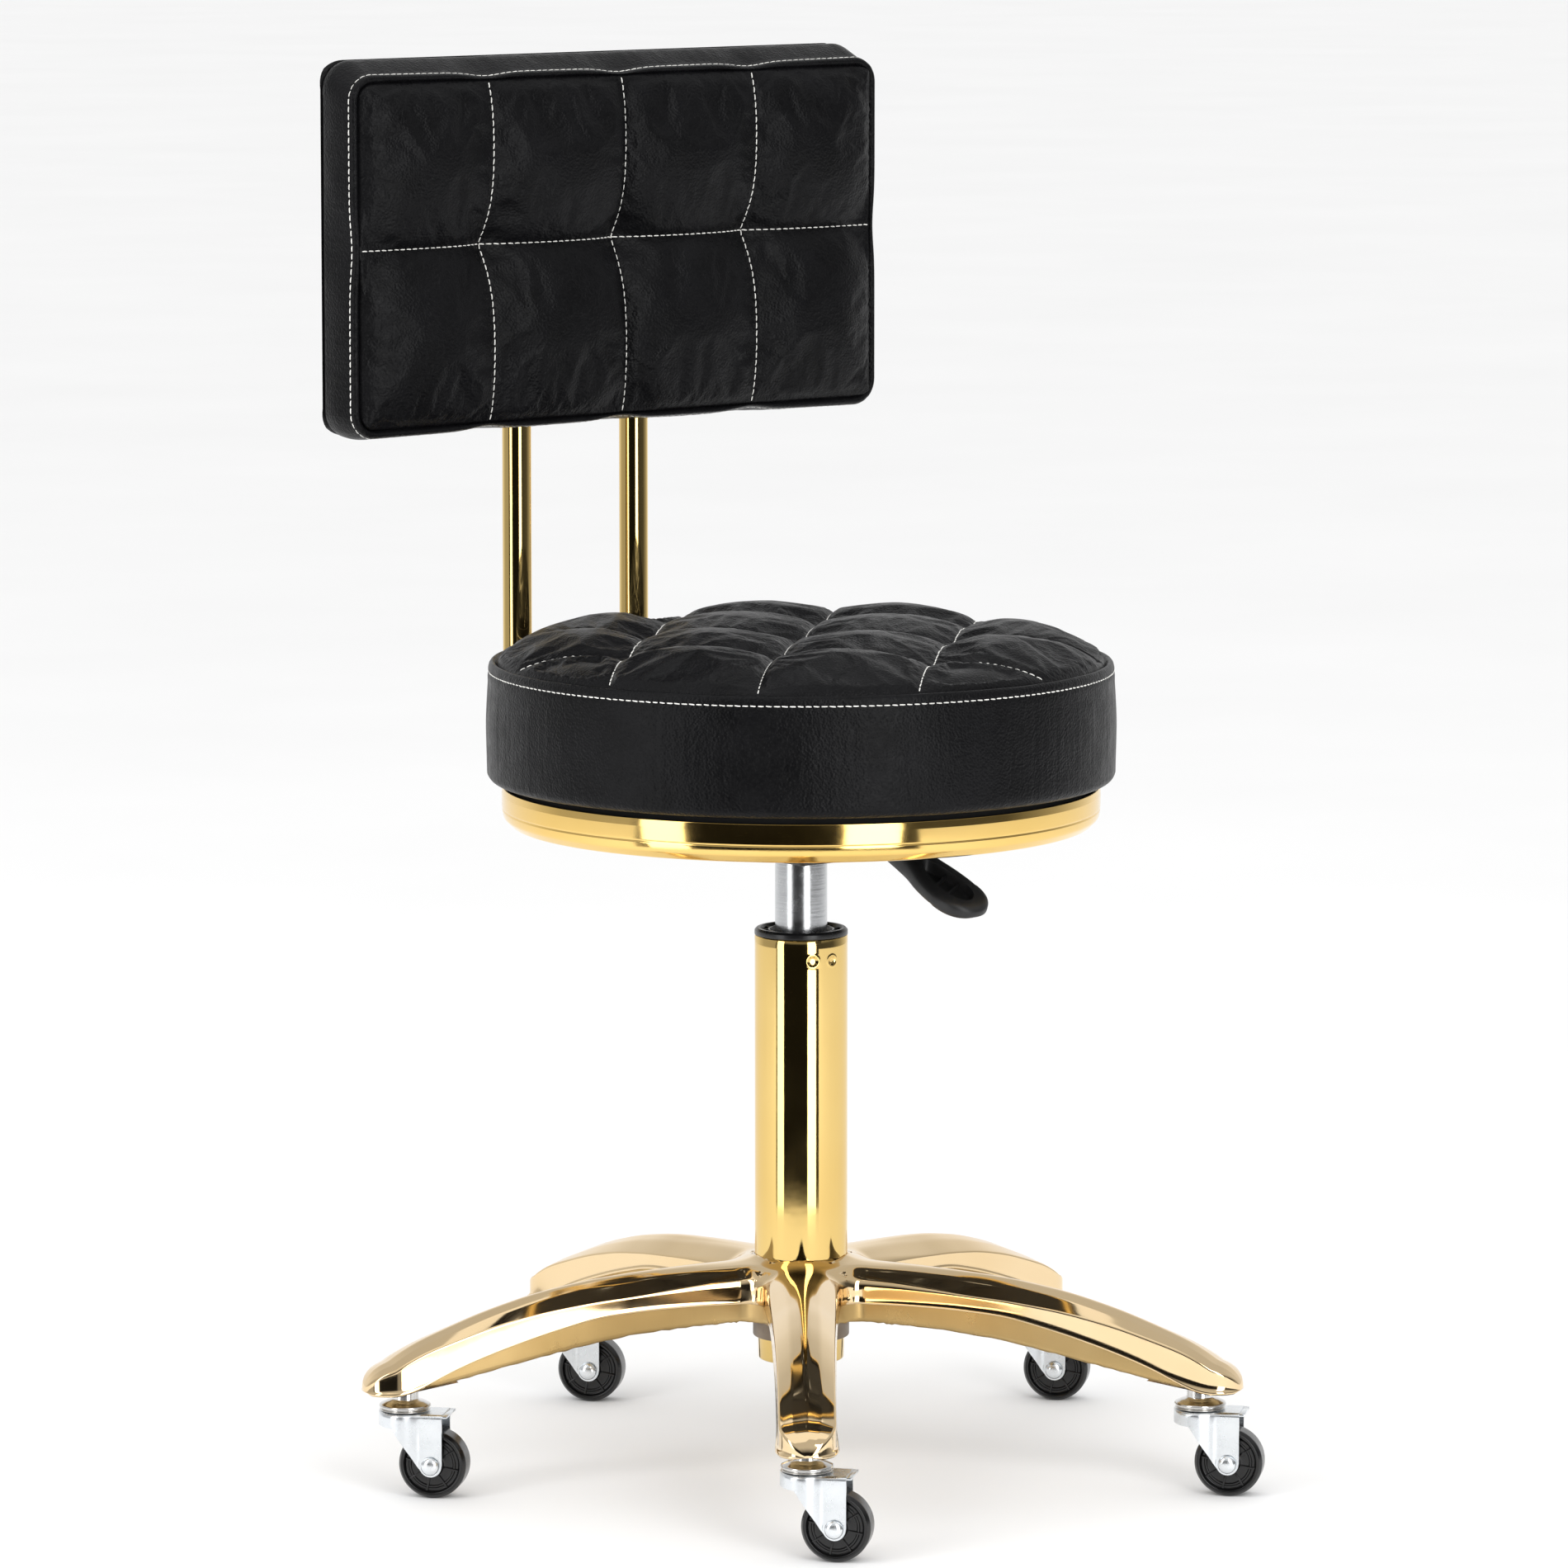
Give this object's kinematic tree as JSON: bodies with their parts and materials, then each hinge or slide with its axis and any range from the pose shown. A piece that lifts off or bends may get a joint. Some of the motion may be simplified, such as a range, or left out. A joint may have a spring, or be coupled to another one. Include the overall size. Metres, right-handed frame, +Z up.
{
  "type": "swivel stool",
  "caption": "Round padded swivel stool with a low rectangular backrest, gas-lift column, release lever and a rolling star base on casters.",
  "frame": {"origin": "on the floor, under the middle of the whole stool; the swivel axis stands 9.3 mm towards -X and 18.1 mm towards -Y from it", "axes": "+Z up, the seat faces -Y and the backrest is on the +Y side"},
  "size_m": [0.4732, 0.4628, 0.758],
  "materials": {
    "gold": "polished gold-coloured plating on steel",
    "socket_metal": "dark bronze, unpolished",
    "bright_steel": "satin",
    "zinc": "bright zinc plating",
    "wheel_plastic": "gloss",
    "black_plastic": "satin",
    "black_steel": "satin black paint",
    "plywood": "raw",
    "foam": "matte",
    "leatherette": "satin"
  },
  "bodies": {
    "base": {"base_shell": "gold", "base_frame": "gold", "hub_socket": "socket_metal", "column_tube": "gold", "guide_bush": "black_plastic", "thrust_bearing": "bright_steel", "retaining_clip": "bright_steel", "caster_stem_1": "zinc", "caster_stem_2": "zinc", "caster_stem_3": "zinc", "caster_stem_4": "zinc", "caster_stem_5": "zinc"},
    "lift_rod": {"piston_rod": "bright_steel", "piston": "black_plastic"},
    "seat": {"gas_cylinder": "bright_steel", "mechanism_plate": "black_steel", "seat_pan": "gold", "seat_board": "plywood", "seat_foam": "foam", "seat_cover": "leatherette", "lever_pivot": "bright_steel", "backrest_bracket": "black_steel", "post_left": "gold", "post_right": "gold", "backrest_panel": "leatherette", "backrest_board": "plywood", "backrest_foam": "foam", "backrest_cover": "leatherette", "plate_screw_1": "bright_steel", "plate_screw_2": "bright_steel", "plate_screw_3": "bright_steel", "plate_screw_4": "bright_steel", "bracket_screw_1": "bright_steel", "bracket_screw_2": "bright_steel", "post_bolt_left_1": "bright_steel", "post_bolt_left_2": "bright_steel", "post_bolt_right_1": "bright_steel", "post_bolt_right_2": "bright_steel"},
    "lever": {"lever_rod": "bright_steel", "lever_handle": "black_plastic"},
    "release_pin": {"release_pin": "bright_steel"},
    "caster_1": {"caster_fork_1": "zinc", "caster_axle_1": "zinc"},
    "wheel_1": {"caster_wheel_1": "wheel_plastic"},
    "caster_2": {"caster_fork_2": "zinc", "caster_axle_2": "zinc"},
    "wheel_2": {"caster_wheel_2": "wheel_plastic"},
    "caster_3": {"caster_fork_3": "zinc", "caster_axle_3": "zinc"},
    "wheel_3": {"caster_wheel_3": "wheel_plastic"},
    "caster_4": {"caster_fork_4": "zinc", "caster_axle_4": "zinc"},
    "wheel_4": {"caster_wheel_4": "wheel_plastic"},
    "caster_5": {"caster_fork_5": "zinc", "caster_axle_5": "zinc"},
    "wheel_5": {"caster_wheel_5": "wheel_plastic"}
  },
  "joints": [
    {"name": "seat_swivel", "type": "hinge", "parent": "base", "child": "lift_rod", "pos_m": [-0.00583, -0.01405, 0.28], "axis": [0, 0, 1], "continuous": true},
    {"name": "seat_lift", "type": "slide", "parent": "lift_rod", "child": "seat", "axis": [0, 0, 1], "range_m": [-0.025, 0.095]},
    {"name": "lever_pull", "type": "hinge", "parent": "seat", "child": "lever", "pos_m": [-0.00583, -0.03805, 0.3529], "axis": [-1, 0, 0], "range_deg": [0, 5.5], "stiffness_Nm_per_rad": 1.5, "springref_deg": -8.59},
    {"name": "pin_press", "type": "slide", "parent": "seat", "child": "release_pin", "axis": [0, 0, -1], "range_m": [0, 0.003]},
    {"name": "caster_swivel_1", "type": "hinge", "parent": "base", "child": "caster_1", "pos_m": [-0.14646, -0.18648, 0.045], "axis": [0, 0, 1], "continuous": true},
    {"name": "wheel_spin_1", "type": "hinge", "parent": "caster_1", "child": "wheel_1", "pos_m": [-0.13617, -0.19873, 0.01825], "axis": [0.766, 0.6428, 0], "continuous": true},
    {"name": "caster_swivel_2", "type": "hinge", "parent": "base", "child": "caster_2", "pos_m": [0.1147, -0.20108, 0.045], "axis": [0, 0, 1], "continuous": true},
    {"name": "wheel_spin_2", "type": "hinge", "parent": "caster_2", "child": "wheel_2", "pos_m": [0.12498, -0.21333, 0.01825], "axis": [0.766, 0.6428, 0], "continuous": true},
    {"name": "caster_swivel_3", "type": "hinge", "parent": "base", "child": "caster_3", "pos_m": [0.20929, 0.04279, 0.045], "axis": [0, 0, 1], "continuous": true},
    {"name": "wheel_spin_3", "type": "hinge", "parent": "caster_3", "child": "wheel_3", "pos_m": [0.21957, 0.03053, 0.01825], "axis": [0.766, 0.6428, 0], "continuous": true},
    {"name": "caster_swivel_4", "type": "hinge", "parent": "base", "child": "caster_4", "pos_m": [0.00659, 0.2081, 0.045], "axis": [0, 0, 1], "continuous": true},
    {"name": "wheel_spin_4", "type": "hinge", "parent": "caster_4", "child": "wheel_4", "pos_m": [0.01688, 0.19585, 0.01825], "axis": [0.766, 0.6428, 0], "continuous": true},
    {"name": "caster_swivel_5", "type": "hinge", "parent": "base", "child": "caster_5", "pos_m": [-0.21327, 0.06641, 0.045], "axis": [0, 0, 1], "continuous": true},
    {"name": "wheel_spin_5", "type": "hinge", "parent": "caster_5", "child": "wheel_5", "pos_m": [-0.20299, 0.05416, 0.01825], "axis": [0.766, 0.6428, 0], "continuous": true}
  ],
  "couplings": [
    {"joint": "pin_press", "follows": "lever_pull", "m_per_rad": 0.024}
  ]
}
